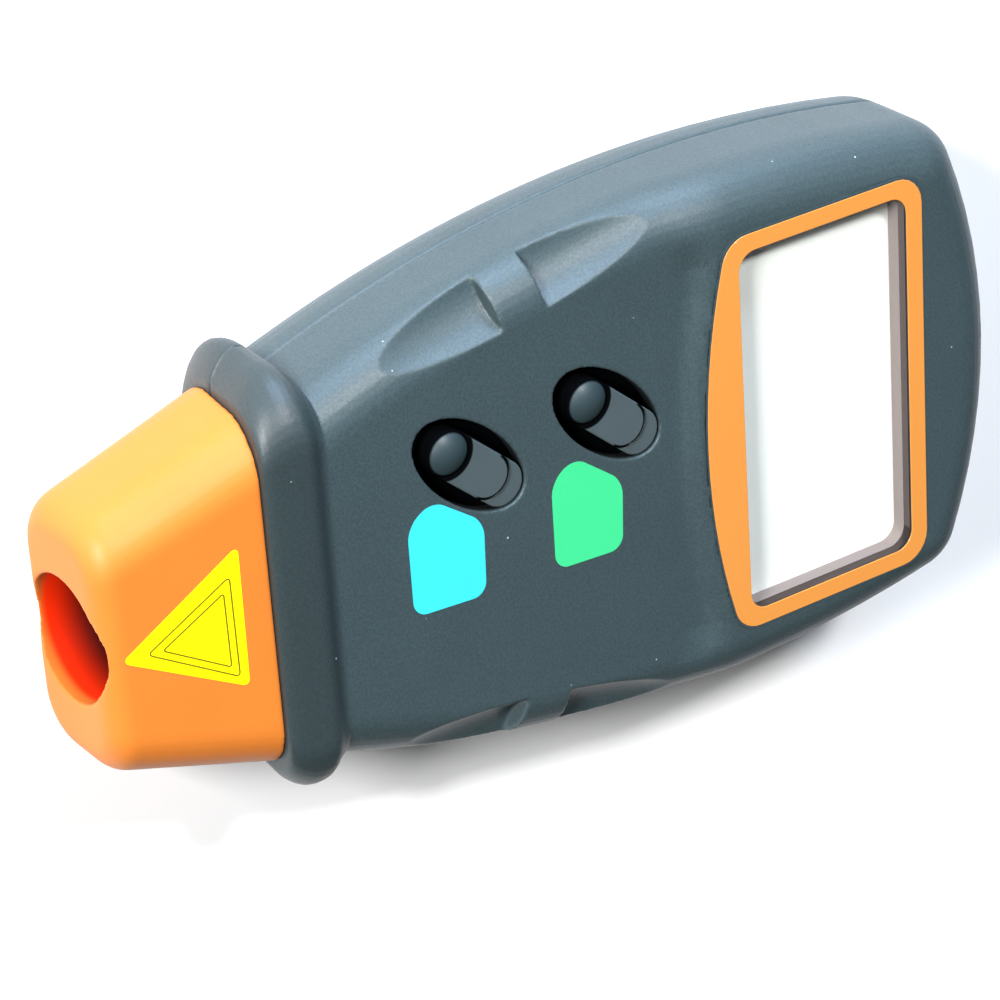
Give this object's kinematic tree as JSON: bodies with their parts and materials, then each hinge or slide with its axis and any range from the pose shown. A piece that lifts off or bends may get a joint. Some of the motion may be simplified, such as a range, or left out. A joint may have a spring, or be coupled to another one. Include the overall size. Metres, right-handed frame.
{
  "type": "laser tachometer",
  "caption": "Handheld laser tachometer with a bulging moulded housing, thumb scoops, a display window, stepped push buttons and a tapered nose with a round sensor bore.",
  "frame": {"origin": "middle of the bounding box, on the plane of the flat back", "axes": "+Z out of the front face, +Y from the display end to the nose, +X to the right"},
  "size_m": [0.069, 0.131, 0.027],
  "materials": {
    "housing": "fine satin grain",
    "nose": "satin",
    "window": "clear",
    "bezel": "matte",
    "display": "smooth",
    "connector": "matte",
    "board": "lacquered",
    "black_parts": "matte",
    "button": "satin",
    "metal": "plain",
    "brass": "turned",
    "battery": "smooth",
    "red_wire": "smooth"
  },
  "bodies": {
    "housing": {"front_shell": "housing", "rear_shell": "housing", "nose_cone": "nose", "window_lens": "window", "window_border": "nose", "lcd_bezel": "bezel", "lcd_panel": "display", "lcd_backplate": "bezel", "lcd_connectors": "connector", "circuit_board": "board", "controller_chip": "black_parts", "crystal": "metal", "memory_switch": "metal", "test_switch": "metal", "sensor_board": "board", "sensor_holder": "black_parts", "receiver_lens": "window", "photodiode": "black_parts", "laser_module": "brass", "battery": "battery", "battery_snap": "black_parts", "red_lead": "red_wire", "black_lead": "black_parts", "case_screws": "metal", "board_screws": "metal"},
    "memory_button": {"memory_button": "button", "memory_plunger": "black_parts"},
    "test_button": {"test_button": "button", "test_plunger": "black_parts"},
    "battery_door": {"battery_door": "housing"}
  },
  "joints": [
    {"name": "memory_press", "type": "slide", "parent": "housing", "child": "memory_button", "axis": [0, 0, -1], "range_m": [0, 0.0007], "stiffness_N_per_m": 300},
    {"name": "test_press", "type": "slide", "parent": "housing", "child": "test_button", "axis": [0, 0, -1], "range_m": [0, 0.0007], "stiffness_N_per_m": 300},
    {"name": "door_slide", "type": "slide", "parent": "housing", "child": "battery_door", "axis": [0, -1, 0], "range_m": [0, 0.058]}
  ]
}
